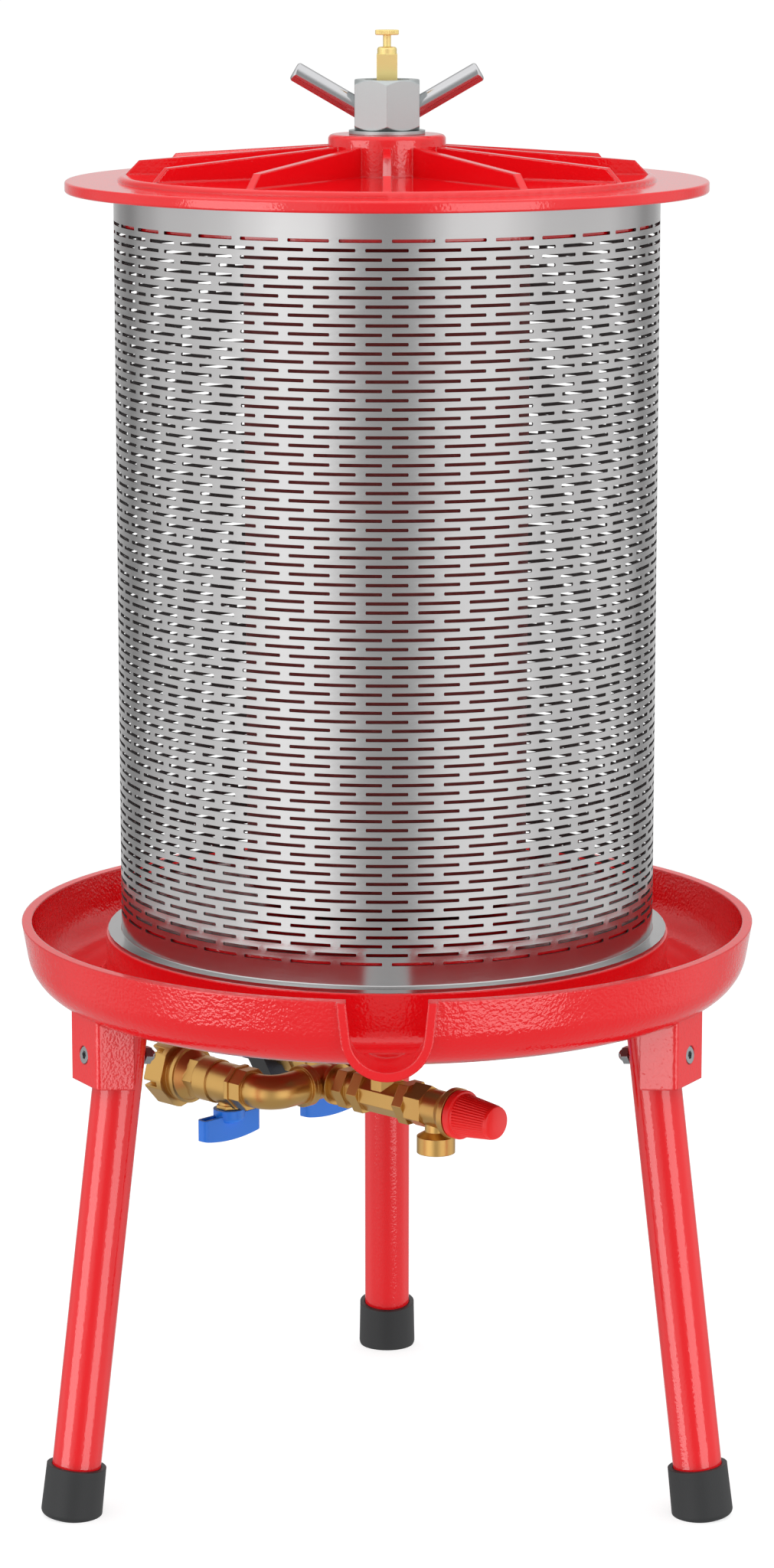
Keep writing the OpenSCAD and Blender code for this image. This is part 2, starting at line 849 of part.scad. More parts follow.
// A rod welded to the right flat of the nut, sloping up, with a rounded end
module nut_rod() {
    root = nut_w / 2;
    color(steel) on_axis() difference() {
        translate([root, 0, washer_z + rod_up]) rotate([0, 90 - rod_slope, 0]) rotate_extrude() {
            translate([0, -rod_d]) square([rod_d / 2, rod_l + rod_d - rod_round]);
            square([rod_d / 2 - rod_round, rod_l]);
            translate([rod_d / 2 - rod_round, rod_l - rod_round]) circle(r = rod_round);
        }
        translate([root - 2 * rod_d, -rod_d, washer_z - rod_d]) cube([2 * rod_d, 2 * rod_d, nut_h + 2 * rod_d]);
    }
}

module nut_handle_left() { mirror([1, 0, 0]) nut_rod(); }
module nut_handle_right() { nut_rod(); }

// Bleed valve

module bleed_valve_body() {
    half = bleed_w / 2;
    collar_r = half - bleed_collar_inset;
    seat_z = bleed_z + bleed_seat_up;
    color(brass) on_axis() difference() {
        union() {
            translate([-half, -half, bleed_z]) cube([bleed_w, bleed_w, bleed_h - bleed_collar_h]);
            rotate_extrude() {
                translate([0, bleed_z + over]) square([collar_r, bleed_h - bleed_collar_round - over]);
                translate([0, bleed_z + over]) square([collar_r - bleed_collar_round, bleed_h - over]);
                translate([collar_r - bleed_collar_round, bleed_top_z - bleed_collar_round])
                    circle(r = bleed_collar_round);
            }
            translate([0, 0, bleed_z - bleed_spigot_l])
                cylinder(r = spindle_bore / 2 - slide_fit, h = bleed_spigot_l);
        }
        translate([0, 0, bleed_z - bleed_spigot_l - over])
            cylinder(r = bleed_bore_r, h = bleed_h + bleed_spigot_l);
        translate([0, 0, seat_z]) cylinder(r = bleed_stem_d / 2 + bleed_stem_fit, h = bleed_h);
        translate([0, 0, seat_z + bleed_seal_t + bleed_vent_r + over]) rotate([0, 0, 90])
            bar(bleed_vent_r, 0, bleed_w);
    }
}

module bleed_seal() {
    seat_z = bleed_z + bleed_seat_up;
    color(rubber) on_axis() translate([0, 0, seat_z]) cylinder(r = bleed_seal_r, h = bleed_seal_t);
}

module bleed_screw() {
    tip_z = bleed_z + bleed_seat_up + bleed_seal_t;
    head_z = bleed_top_z + bleed_stem_l;
    r = bleed_head_d / 2;
    color(brass) on_axis() {
        translate([0, 0, tip_z]) cylinder(d = bleed_stem_d, h = head_z - tip_z);
        rotate_extrude() polygon([[0, head_z], [r - bleed_edge, head_z], [r, head_z + bleed_edge],
            [r, head_z + bleed_head_t - bleed_edge], [r - bleed_edge, head_z + bleed_head_t],
            [0, head_z + bleed_head_t]]);
    }
}

// Water fittings

// A threaded port along X: its socket opens at its face and leads into the flow passage
module port_cut(face, side) {
    inner = face - side * port_l;
    bar(port_r, min(face + side * over, inner), max(face + side * over, inner));
}

module centre_tee() {
    color(brass) on_line() difference() {
        union() {
            flat_bar(tee_flat, 8, -tee_back, tee_front);
            flat_bar(tee_collar_w, 6, -tee_back, tee_collar_l - tee_back);
            flat_bar(tee_collar_w, 6, tee_front - tee_collar_l, tee_front);
            rotate([0, -90, 0]) flat_bar(tee_branch_w, 8, 0, tee_up);
            translate([0, 0, tee_up - tee_collar_l]) cylinder(d = tee_collar_w, h = tee_collar_l);
        }
        bar(flow_r, -tee_back, tee_front);
        port_cut(-tee_back, -1);
        port_cut(tee_front, 1);
        rotate([0, -90, 0]) bar(flow_r, 0, tee_up);
        rotate([0, -90, 0]) port_cut(tee_up, 1);
    }
}

// A hexagonal nipple between two faces, with a threaded end in each
module nipple(from, to, hex_w, hex_l) {
    middle = (from + to) / 2;
    difference() {
        union() {
            bar(pipe_r - fit, from, to);
            flat_bar(hex_w, 6, middle - hex_l / 2, middle + hex_l / 2);
            bar(spigot_r, from - spigot_l, to + spigot_l);
        }
        bar(flow_r, from - spigot_l - over, to + spigot_l + over);
    }
}

module main_nipple() {
    color(brass) on_line() nipple(side_tee_out - side_tee_at, -tee_back, nipple_hex_w, nipple_hex_l);
}

module side_tee() {
    half = side_tee_half;
    color(brass) on_line(-side_tee_at) difference() {
        union() {
            rotate([0, 0, 90]) {
                bar(pipe_r, -half, half);
                bar(ring_r, -half, ring_w - half);
                bar(ring_r, half - ring_w, half);
            }
            bar(pipe_r, 0, side_tee_out);
            bar(ring_r, side_tee_out - ring_w, side_tee_out);
        }
        rotate([0, 0, 90]) {
            bar(flow_r, -half, half);
            port_cut(-half, -1);
            port_cut(half, 1);
        }
        bar(flow_r, 0, side_tee_out);
        port_cut(side_tee_out, 1);
    }
}

// A round-bend elbow with its corner at the origin: one leg back along -X with an eight-sided
// socket for the valve, the other along +Y with a threaded end for the tee
module elbow(offset, reach) {
    face = valve_front - reach;
    end = offset - side_tee_half;
    difference() {
        union() {
            bar(pipe_r, face + elbow_flat_l / 2, -elbow_bend);
            flat_bar(elbow_flat_w, 8, face, face + elbow_flat_l);
            bend(pipe_r);
            rotate([0, 0, 90]) {
                bar(pipe_r, elbow_bend, end);
                bar(ring_r, end - ring_w, end);
                bar(spigot_r, end - ring_w, end + spigot_l);
            }
        }
        bar(flow_r, face - over, -elbow_bend);
        port_cut(face, -1);
        bend(flow_r);
        rotate([0, 0, 90]) bar(flow_r, elbow_bend, end + spigot_l + over);
    }
}

module bend(r) {
    translate([-elbow_bend, elbow_bend, 0]) rotate([0, 0, -90])
        rotate_extrude(angle = 90) translate([elbow_bend, 0]) circle(r = r);
}

module inlet_elbow() {
    color(brass) on_line(-side_tee_at, -inlet_offset) elbow(inlet_offset, inlet_reach);
}

module drain_elbow() {
    color(brass) on_line(-side_tee_at, drain_offset) mirror([0, 1, 0]) elbow(drain_offset, drain_reach);
}

// Ball valve, with its stem pointing down and the ball at the origin

module on_inlet() {
    on_line(-side_tee_at - inlet_reach, -inlet_offset) children();
}

module on_drain() {
    on_line(-side_tee_at - drain_reach, drain_offset) children();
}

module valve_body() {
    color(brass) difference() {
        union() {
            bar(valve_collar_r, -valve_back, valve_collar_l - valve_back);
            bar(valve_body_r, -valve_back, valve_front - valve_ring_l);
            translate([0, 0, -neck_down]) cylinder(r = neck_out_r, h = neck_down);
        }
        bar(flow_r, -valve_back, 0);
        port_cut(-valve_back, -1);
        bar(cavity_r, -cavity_half, valve_front);
        translate([0, 0, -neck_down - over]) cylinder(r = stem_r + slide_fit, h = neck_down + over);
    }
}

// The screwed-in end that holds the ball and its seats
module valve_end() {
    shoulder = valve_front - valve_ring_l;
    color(brass) difference() {
        union() {
            bar(cavity_r - slide_fit, cavity_half, shoulder);
            flat_bar(valve_flat_w, 8, shoulder, valve_front);
            bar(spigot_r, cavity_half, valve_front + spigot_l);
        }
        bar(flow_r, cavity_half - over, valve_front + spigot_l + over);
    }
}

module ball_seats() {
    color(white) difference() {
        for (from = [-cavity_half, seat_half]) difference() {
            bar(cavity_r - slide_fit, from, from + cavity_half - seat_half);
            bar(seat_r, from - over, from + cavity_half);
        }
        sphere(r = ball_r + ball_fit);
    }
}

// The ball is shut: its passage lies across the flow
module ball() {
    color(steel) difference() {
        sphere(r = ball_r);
        rotate([0, 0, 90]) bar(ball_flow_r, -2 * ball_r, 2 * ball_r);
        translate([-tang_w / 2, -ball_r, -ball_r - over]) cube([tang_w, 2 * ball_r, tang_l + over]);
    }
}

module stem() {
    shoulder = -ball_r - slide_fit;
    tip = -hub_down - grip_hub_l;
    color(steel) difference() {
        union() {
            translate([0, 0, tip]) cylinder(r = stem_r, h = shoulder - tip);
            intersection() {
                translate([0, 0, shoulder - over]) cylinder(r = stem_r - tang_fit, h = tang_l + over);
                translate([tang_fit - tang_w / 2, -stem_r, shoulder - over])
                    cube([tang_w - 2 * tang_fit, 2 * stem_r, tang_l + over]);
            }
        }
        translate([0, 0, tip - over]) cylinder(r = grip_screw_shank_r + slide_fit, h = grip_screw_l + over);
    }
}

module gland_nut() {
    color(brass) translate([0, 0, -neck_down - gland_t]) difference() {
        cylinder(r = gland_w / 2 / cos(30), h = gland_t, $fn = 6);
        translate([0, 0, -over]) cylinder(r = stem_r + slide_fit, h = gland_t + 2 * over);
    }
}

// A T-shaped handle: a round hub on the stem and a hollow blade across the flow
module handle() {
    low = grip_top + grip_depth;
    hub_end = hub_down + grip_hub_l;
    hub_low = hub_end + grip_hub_floor;
    color(blue) difference() {
        union() {
            rotate_extrude() {
                translate([0, grip_hub_round - hub_low])
                    square([grip_hub_r, hub_low - hub_down - grip_hub_round]);
                translate([0, -hub_low]) square([grip_hub_r - grip_hub_round, hub_low - hub_down]);
                translate([grip_hub_r - grip_hub_round, grip_hub_round - hub_low]) circle(r = grip_hub_round);
            }
            intersection() {
                translate([-grip_t / 2, 0, 0]) rotate([90, 0, 90]) linear_extrude(height = grip_t) grip_side(low);
                translate([0, 0, -low - 2 * grip_bulge]) linear_extrude(height = low) grip_plan();
            }
        }
        for (side = [-1, 1]) translate([grip_shell - grip_t / 2,
                side > 0 ? grip_hub_r : grip_shell - grip_l / 2, -grip_top - grip_pocket])
            cube([grip_t - 2 * grip_shell, grip_l / 2 - grip_shell - grip_hub_r, grip_pocket + over]);
        translate([0, 0, -hub_end]) cylinder(r = stem_r + slide_fit, h = hub_end);
        translate([0, 0, -low - grip_bulge - over])
            cylinder(r = grip_screw_r + fit, h = low + grip_bulge + over - hub_end - grip_screw_t);
        translate([0, 0, -low]) cylinder(r = grip_screw_shank_r + slide_fit, h = low);
    }
}

// Side view of the blade, with a curved lower edge
module grip_side(low) {
    arc_r = (grip_l * grip_l / 4 + grip_bulge * grip_bulge) / 2 / grip_bulge;
    translate([-grip_l / 2, -low]) square([grip_l, grip_depth]);
    intersection() {
        translate([0, arc_r - low - grip_bulge]) circle(r = arc_r);
        translate([-grip_l / 2, -low - grip_bulge]) square([grip_l, grip_depth]);
    }
}

// Top view of the blade, with rounded ends
module grip_plan() {
    half_t = grip_t / 2;
    half_l = grip_l / 2;
    translate([grip_round - half_t, -half_l]) square([grip_t - 2 * grip_round, grip_l]);
    translate([-half_t, grip_round - half_l]) square([grip_t, grip_l - 2 * grip_round]);
    for (side_t = [-1, 1])
        for (side_l = [-1, 1])
            translate([side_t * (half_t - grip_round), side_l * (half_l - grip_round)]) circle(r = grip_round);
}

module handle_screw() {
    seat = -hub_down - grip_hub_l - grip_screw_t;
    color(steel) {
        translate([0, 0, seat]) cylinder(r = grip_screw_shank_r, h = grip_screw_l);
        translate([0, 0, seat - grip_screw_t]) cylinder(r = grip_screw_r, h = grip_screw_t);
    }
}

module inlet_valve_body() { on_inlet() valve_body(); }
module inlet_valve_end() { on_inlet() valve_end(); }
module inlet_ball_seats() { on_inlet() ball_seats(); }
module inlet_ball() { on_inlet() ball(); }
module inlet_stem() { on_inlet() stem(); }
module inlet_gland_nut() { on_inlet() gland_nut(); }
module inlet_handle() { on_inlet() handle(); }
module inlet_handle_screw() { on_inlet() handle_screw(); }
module drain_valve_body() { on_drain() valve_body(); }
module drain_valve_end() { on_drain() valve_end(); }
module drain_ball_seats() { on_drain() ball_seats(); }
module drain_ball() { on_drain() ball(); }
module drain_stem() { on_drain() stem(); }
module drain_gland_nut() { on_drain() gland_nut(); }
module drain_handle() { on_drain() handle(); }
module drain_handle_screw() { on_drain() handle_screw(); }

// Claw hose coupling at the inlet: hexagon, cone, flange and a ring of claws
coupling_cone = -valve_back - coupling_hex_l;
coupling_flange = coupling_cone - coupling_cone_l - coupling_flange_t;
coupling_claw = coupling_flange - coupling_neck_l;
coupling_face = coupling_claw - coupling_claw_l;

module hose_coupling() {
    color(brass) on_inlet() difference() {
        union() {
            bar(spigot_r, coupling_cone, spigot_l - valve_back);
            flat_bar(coupling_hex_w, 6, coupling_cone, -valve_back);
            cone_bar(coupling_flange_r - over, coupling_hex_w / 2 - fit,
                coupling_cone - coupling_cone_l - over, coupling_cone + over);
            bar(coupling_flange_r, coupling_flange, coupling_flange + coupling_flange_t);
            bar(coupling_neck_r, coupling_claw - over, coupling_flange + over);
            rotate([coupling_turn, 0, 0]) claw_ring();
        }
        bar(flow_r, coupling_face - over, spigot_l - valve_back + over);
        bar(coupling_bore_r, coupling_face - over, coupling_face + coupling_bore_l);
        bar(seal_r + fit, coupling_face - over, coupling_face + seal_t - seal_proud);
    }
}

// Claws with flat backs, parted by narrow gaps at the corners
module claw_ring() {
    corner = coupling_r / cos(180 / coupling_claws) - coupling_claw_edge;
    intersection() {
        difference() {
            flat_bar(2 * coupling_r, coupling_claws, coupling_face, coupling_claw);
            for (k = [0:coupling_claws - 1]) rotate([(k + 0.5) * 360 / coupling_claws, 0, 0])
                translate([coupling_face - over, -coupling_gap / 2, coupling_root_r])
                    cube([coupling_gap_l + over, coupling_gap, coupling_r]);
        }
        bar(corner, coupling_face - over, coupling_claw + over);
    }
}

module coupling_seal() {
    from = coupling_face - seal_proud;
    color(rubber) on_inlet() difference() {
        bar(seal_r, from, from + seal_t);
        bar(coupling_bore_r, from - over, from + seal_t + over);
    }
}

// Drain line: a brass nipple and a black hose connector with a plain tail
drain_face = -valve_back - drain_nipple_l;

module drain_nipple() {
    color(brass) on_drain() nipple(drain_face, -valve_back, nipple_hex_w, nipple_hex_l);
}

module drain_connector() {
    tail = drain_face - drain_hex_l;
    color(black) on_drain() difference() {
        union() {
            flat_bar(drain_hex_w, 6, tail, drain_face);
            bar(drain_tail_r, tail - drain_tail_l, drain_face);
        }
        port_cut(drain_face, 1);
        bar(flow_r, tail - drain_tail_l - over, drain_face);
    }
}

// Relief valve: hexagon, barrel, lip, outlet cup below and a red cap that turns on a pin

relief_barrel = tee_front + relief_hex_l;
relief_flare = relief_barrel + relief_barrel_l;
relief_lip = relief_flare + relief_flare_l;
relief_end = relief_lip + relief_lip_l;

module relief_valve_body() {
    cup_top = outlet_cup_l - outlet_drop;
    color(brass) on_line() difference() {
        union() {
            bar(spigot_r, tee_front - spigot_l, tee_front + relief_hex_l);
            rotate([90, 0, 0]) flat_bar(relief_hex_w, 6, tee_front, relief_barrel);
            bar(relief_barrel_r - fit, relief_barrel - over, relief_lip);
            cone_bar(relief_barrel_r - fit, relief_lip_r, relief_flare, relief_lip);
            bar(relief_lip_r, relief_lip, relief_end);
            bar(relief_pin_r, relief_lip, relief_end + relief_pin_l);
            translate([outlet_at, 0, 0]) {
                translate([0, 0, -outlet_drop]) cylinder(r = outlet_r, h = outlet_cup_l);
                translate([0, 0, cup_top]) cylinder(r1 = outlet_r, r2 = outlet_neck_r, h = outlet_cone_l);
                translate([0, 0, cup_top]) cylinder(r = outlet_neck_r, h = -cup_top);
            }
        }
        bar(flow_r, tee_front - spigot_l - over, outlet_at);
        translate([outlet_at, 0, -outlet_drop - over])
            cylinder(r = outlet_thread_r, h = outlet_cup_l + over);
        translate([outlet_at, 0, -outlet_drop]) cylinder(r = flow_r, h = outlet_drop);
    }
}

module relief_valve_cap() {
    from = relief_end + cap_gap;
    skirt = from + cap_skirt_l;
    end = from + cap_l;
    color(red) on_line() difference() {
        union() {
            bar(cap_r, from, skirt);
            cone_bar(cap_cone_r, cap_end_r, skirt, end - cap_round);
            cone_bar(cap_end_r, cap_end_r - cap_round, end - cap_round, end);
        }
        bar(relief_pin_r + slide_fit, from - over, relief_end + relief_pin_l + cap_gap);
    }
}

tray();
leg_left();
leg_right();
leg_back();
foot_left();
foot_right();
foot_back();
leg_bolts();
leg_nuts();
spindle();
spindle_gasket();
spindle_locknut();
bladder();
bladder_clamp_bottom();
bladder_clamp_top();
basket();
lid();
lid_washer();
handle_nut();
nut_handle_left();
nut_handle_right();
bleed_valve_body();
bleed_seal();
bleed_screw();
centre_tee();
main_nipple();
side_tee();
inlet_elbow();
drain_elbow();
inlet_valve_body();
inlet_valve_end();
inlet_ball_seats();
inlet_ball();
inlet_stem();
inlet_gland_nut();
inlet_handle();
inlet_handle_screw();
drain_valve_body();
drain_valve_end();
drain_ball_seats();
drain_ball();
drain_stem();
drain_gland_nut();
drain_handle();
drain_handle_screw();
hose_coupling();
coupling_seal();
drain_nipple();
drain_connector();
relief_valve_body();
relief_valve_cap();
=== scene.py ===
"""A water-powered fruit press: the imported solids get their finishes, and the slotted basket, the
rubber bladder, the knurled bleed screw and the ribbed relief cap get their full detail."""
import json
import math

import bmesh
import bpy
from mathutils import Matrix, Vector


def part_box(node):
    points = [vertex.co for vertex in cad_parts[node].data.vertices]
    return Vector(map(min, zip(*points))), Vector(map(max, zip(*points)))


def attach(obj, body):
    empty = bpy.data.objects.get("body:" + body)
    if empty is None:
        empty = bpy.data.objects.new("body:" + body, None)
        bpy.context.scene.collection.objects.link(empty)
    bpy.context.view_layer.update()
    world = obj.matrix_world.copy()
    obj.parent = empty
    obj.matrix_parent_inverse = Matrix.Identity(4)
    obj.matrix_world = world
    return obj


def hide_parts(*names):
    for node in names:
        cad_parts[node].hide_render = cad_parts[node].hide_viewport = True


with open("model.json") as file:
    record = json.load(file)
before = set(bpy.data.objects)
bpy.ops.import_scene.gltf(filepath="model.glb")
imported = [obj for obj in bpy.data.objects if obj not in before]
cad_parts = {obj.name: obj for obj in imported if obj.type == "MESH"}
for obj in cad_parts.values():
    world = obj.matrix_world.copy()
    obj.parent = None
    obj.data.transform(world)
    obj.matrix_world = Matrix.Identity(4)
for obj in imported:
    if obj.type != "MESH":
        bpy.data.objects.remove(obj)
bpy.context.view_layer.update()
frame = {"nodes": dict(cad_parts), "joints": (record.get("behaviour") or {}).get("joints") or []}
nodes = frame["nodes"]

MM = 0.001
basket_low, basket_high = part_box("basket")
SPINDLE = Vector((0.0, (basket_low.y + basket_high.y) / 2, 0.0))
LEDGE_Z = basket_low.z
BASKET_TOP_Z = basket_high.z


# Camera: fitted to the photograph, square to the spout and a little above the lid

PICTURE_HEIGHT = 2048.0
FOCAL_PIXELS = 5967.642
SENSOR = 36.0
CAMERA_FROM_SPINDLE = Vector((0.0, -2.774555, 0.983838))
CAMERA_DIP = 11.209153
VIEW_END = 200.0


def make_camera():
    data = bpy.data.cameras.new("press_camera")
    data.sensor_width = SENSOR
    data.lens = FOCAL_PIXELS * SENSOR / PICTURE_HEIGHT
    data.clip_end = VIEW_END
    camera = bpy.data.objects.new("press_camera", data)
    camera.location = SPINDLE + CAMERA_FROM_SPINDLE
    camera.rotation_euler = (math.radians(90.0 - CAMERA_DIP), 0.0, 0.0)
    bpy.context.scene.collection.objects.link(camera)
    bpy.context.scene.camera = camera


# Shader helpers

def is_output(value):
    return hasattr(value, "is_linked")


def new_group(name, inputs, outputs):
    group = bpy.data.node_groups.new(name, "ShaderNodeTree")
    for label, default in inputs:
        socket = group.interface.new_socket(label, in_out="INPUT", socket_type="NodeSocketFloat")
        socket.default_value = default
    for label in outputs:
        group.interface.new_socket(label, in_out="OUTPUT", socket_type="NodeSocketFloat")
    start = group.nodes.new("NodeGroupInput")
    end = group.nodes.new("NodeGroupOutput")
    return group, start, end


def place_group(tree, group, **values):
    node = tree.nodes.new("ShaderNodeGroup")
    node.node_tree = group
    for label, value in values.items():
        node.inputs[label.replace("_", " ")].default_value = value
    return node


def add_noise(tree, place, scale, detail, roughness=0.5):
    noise = tree.nodes.new("ShaderNodeTexNoise")
    noise.inputs["Detail"].default_value = detail
    noise.inputs["Roughness"].default_value = roughness
    tree.links.new(place, noise.inputs["Vector"])
    if is_output(scale):
        tree.links.new(scale, noise.inputs["Scale"])
    else:
        noise.inputs["Scale"].default_value = scale
    return noise.outputs["Fac"]


def add_math(tree, operation, *values):
    node = tree.nodes.new("ShaderNodeMath")
    node.operation = operation
    for place, value in enumerate(values):
        if is_output(value):
            tree.links.new(value, node.inputs[place])
        else:
            node.inputs[place].default_value = value
    return node.outputs[0]


def add_mix(tree, share, first, second):
    """A blend of two colours, each given as numbers or by another node."""
    mix = tree.nodes.new("ShaderNodeMix")
    mix.data_type = "RGBA"
    tree.links.new(share, mix.inputs["Factor"])
    for label, value in (("A", first), ("B", second)):
        if is_output(value):
            tree.links.new(value, mix.inputs[label])
        else:
            mix.inputs[label].default_value = (*value, 1.0)
    return mix.outputs["Result"]


def soft_step(tree, value, limits):
    step = tree.nodes.new("ShaderNodeMapRange")
    step.interpolation_type = "SMOOTHSTEP"
    step.inputs["From Min"].default_value = limits[0]
    step.inputs["From Max"].default_value = limits[1]
    tree.links.new(value, step.inputs["Value"])
    return step.outputs["Result"]


# Where most of a noise's values lie
NOISE_SPREAD = (0.3, 0.7)


def spread_noise(tree, noise, limits):
    spread = tree.nodes.new("ShaderNodeMapRange")
    spread.inputs["From Min"].default_value = NOISE_SPREAD[0]
    spread.inputs["From Max"].default_value = NOISE_SPREAD[1]
    spread.inputs["To Min"].default_value = limits[0]
    spread.inputs["To Max"].default_value = limits[1]
    tree.links.new(noise, spread.inputs["Value"])
    return spread.outputs["Result"]


# Shared effects: the skin of a sprayed or moulded surface, and the grain of metal

COAT_CLOUD = 9.0
METAL_CLOUD = 14.0
# How much of its dimples a coat loses on level faces
LEVEL_LOSS = 0.75
# How far a face looks down where painted shade starts to darken the coat, and where it is darkest
PAINTED_SHADE_FACING = (-0.80, -0.98)


def make_skin_group():
    """The fine, rounded dimples of a sprayed coat over a coarser cast skin."""
    group, start, end = new_group(
        "sprayed_coat",
        [("Dimple", 900.0), ("Cast", 140.0), ("Cast share", 0.3)],
        ["Height", "Cloud", "Painted_shade_under"],
    )
    place = group.nodes.new("ShaderNodeTexCoord")
    fine = add_noise(group, place.outputs["Object"], start.outputs["Dimple"], 1.0)
    coarse = add_noise(group, place.outputs["Object"], start.outputs["Cast"], 3.0)
    cloud = add_noise(group, place.outputs["Object"], COAT_CLOUD, 2.0)
    heavy = add_math(group, "MULTIPLY", coarse, start.outputs["Cast share"])
    total = add_math(group, "ADD", fine, heavy)
    # a coat runs smooth on level faces and keeps its dimples on upright ones
    facing = group.nodes.new("ShaderNodeSeparateXYZ")
    group.links.new(place.outputs["Normal"], facing.inputs[0])
    level = add_math(group, "MULTIPLY", facing.outputs["Z"], facing.outputs["Z"])
    upright = add_math(group, "MULTIPLY_ADD", level, -LEVEL_LOSS, 1.0)
    group.links.new(add_math(group, "MULTIPLY", total, upright), end.inputs["Height"])
    # painted shade: a mask of the faces that look down, which the coat then darkens
    group.links.new(soft_step(group, facing.outputs["Z"], PAINTED_SHADE_FACING), end.inputs["Painted_shade_under"])
    group.links.new(cloud, end.inputs["Cloud"])
    return group


def make_grain_group():
    """Fine lines that run round or along a piece, as rolled and turned metal has."""
    group, start, end = new_group(
        "metal_grain",
        [("Across X", 200.0), ("Across Y", 200.0), ("Along Z", 200.0)],
        ["Line", "Cloud"],
    )
    place = group.nodes.new("ShaderNodeTexCoord")
    stretch = group.nodes.new("ShaderNodeCombineXYZ")
    for axis, label in zip("XYZ", ("Across X", "Across Y", "Along Z")):
        group.links.new(start.outputs[label], stretch.inputs[axis])
    scaled = group.nodes.new("ShaderNodeVectorMath")
    scaled.operation = "MULTIPLY"
    group.links.new(place.outputs["Object"], scaled.inputs[0])
    group.links.new(stretch.outputs[0], scaled.inputs[1])
    line = add_noise(group, scaled.outputs[0], 1.0, 4.0, 0.6)
    cloud = add_noise(group, place.outputs["Object"], METAL_CLOUD, 3.0)
    group.links.new(line, end.inputs["Line"])
    group.links.new(cloud, end.inputs["Cloud"])
    return group


SKIN = make_skin_group()
GRAIN = make_grain_group()


# Finishes

EDGE_SAMPLES = 6


def start_finish(name, colour, metallic, roughness):
    material = bpy.data.materials.new(name)
    material.use_nodes = True
    shader = material.node_tree.nodes["Principled BSDF"]
    shader.inputs["Base Color"].default_value = (*colour, 1.0)
    shader.inputs["Metallic"].default_value = metallic
    shader.inputs["Roughness"].default_value = roughness
    return material, material.node_tree, shader


def link_finish(tree, shader, shade, rough, height, strength, depth, edge):
    """Colour, roughness and small relief, with a rounded look on sharp edges where edge is given."""
    tree.links.new(shade, shader.inputs["Base Color"])
    tree.links.new(rough, shader.inputs["Roughness"])
    bump = tree.nodes.new("ShaderNodeBump")
    bump.inputs["Strength"].default_value = strength
    bump.inputs["Distance"].default_value = depth
    tree.links.new(height, bump.inputs["Height"])
    if edge > 0.0:
        bevel = tree.nodes.new("ShaderNodeBevel")
        bevel.samples = EDGE_SAMPLES
        bevel.inputs["Radius"].default_value = edge
        tree.links.new(bevel.outputs["Normal"], bump.inputs["Normal"])
    tree.links.new(bump.outputs["Normal"], shader.inputs["Normal"])


RED_DARK = (0.74, 0.005, 0.009)
RED_LIGHT = (0.82, 0.007, 0.012)
# Painted shade: the coat is darkened on the faces under the tray, standing in for the shadow there
RED_PAINTED_SHADE_UNDER = (0.22, 0.012, 0.010)
COAT_ROUGH = (0.06, 0.10)
COAT_DEPTH = 0.6 * MM
METAL_DEPTH = 0.2 * MM
MOULDED_DEPTH = 0.3 * MM
MOULDED_CAST = 0.2
MOULDED_CAST_SHARE = 0.4


def coated(name, dimple, cast, cast_share, strength, edge, painted_shade):
    material, tree, shader = start_finish(name, RED_LIGHT, 0.0, sum(COAT_ROUGH) / 2)
    skin = place_group(tree, SKIN, Dimple=dimple, Cast=cast, Cast_share=cast_share).outputs
    shade = add_mix(tree, skin["Cloud"], RED_DARK, RED_LIGHT)
    if painted_shade:
        # painted shade darkens the faces that look down
        shade = add_mix(tree, skin["Painted_shade_under"], shade, painted_shade)
    rough = spread_noise(tree, skin["Cloud"], COAT_ROUGH)
    link_finish(tree, shader, shade, rough, skin["Height"], strength, COAT_DEPTH, edge)
    return material


def metal(name, dark, light, roughness, stretch, strength, edge, bare):
    material, tree, shader = start_finish(name, light, bare, roughness[0])
    grain = place_group(tree, GRAIN, Across_X=stretch[0], Across_Y=stretch[1], Along_Z=stretch[2]).outputs
    shade = add_mix(tree, grain["Cloud"], dark, light)
    rough = spread_noise(tree, grain["Line"], roughness)
    link_finish(tree, shader, shade, rough, grain["Line"], strength, METAL_DEPTH, edge)
    return material


def moulded(name, dark, light, roughness, dimple, strength, edge):
    material, tree, shader = start_finish(name, light, 0.0, roughness[0])
    skin = place_group(tree, SKIN, Dimple=dimple, Cast=dimple * MOULDED_CAST,
                       Cast_share=MOULDED_CAST_SHARE).outputs
    shade = add_mix(tree, skin["Cloud"], dark, light)
    rough = spread_noise(tree, skin["Cloud"], roughness)
    link_finish(tree, shader, shade, rough, skin["Height"], strength, MOULDED_DEPTH, edge)
    return material


# Dimple scale, cast scale and its share, relief, edge rounding, painted shade of the faces that look down
COATS = {
    "red_cast": (520.0, 170.0, 0.60, 0.52, 1.6 * MM, RED_PAINTED_SHADE_UNDER),
    "red_lid": (520.0, 170.0, 0.50, 0.22, 1.4 * MM, None),
    "red_tube": (620.0, 200.0, 0.25, 0.14, 1.0 * MM, None),
}

ROLLED = (60.0, 60.0, 2600.0)
TURNED = (1500.0, 1500.0, 1500.0)
POLISHED = (900.0, 900.0, 900.0)
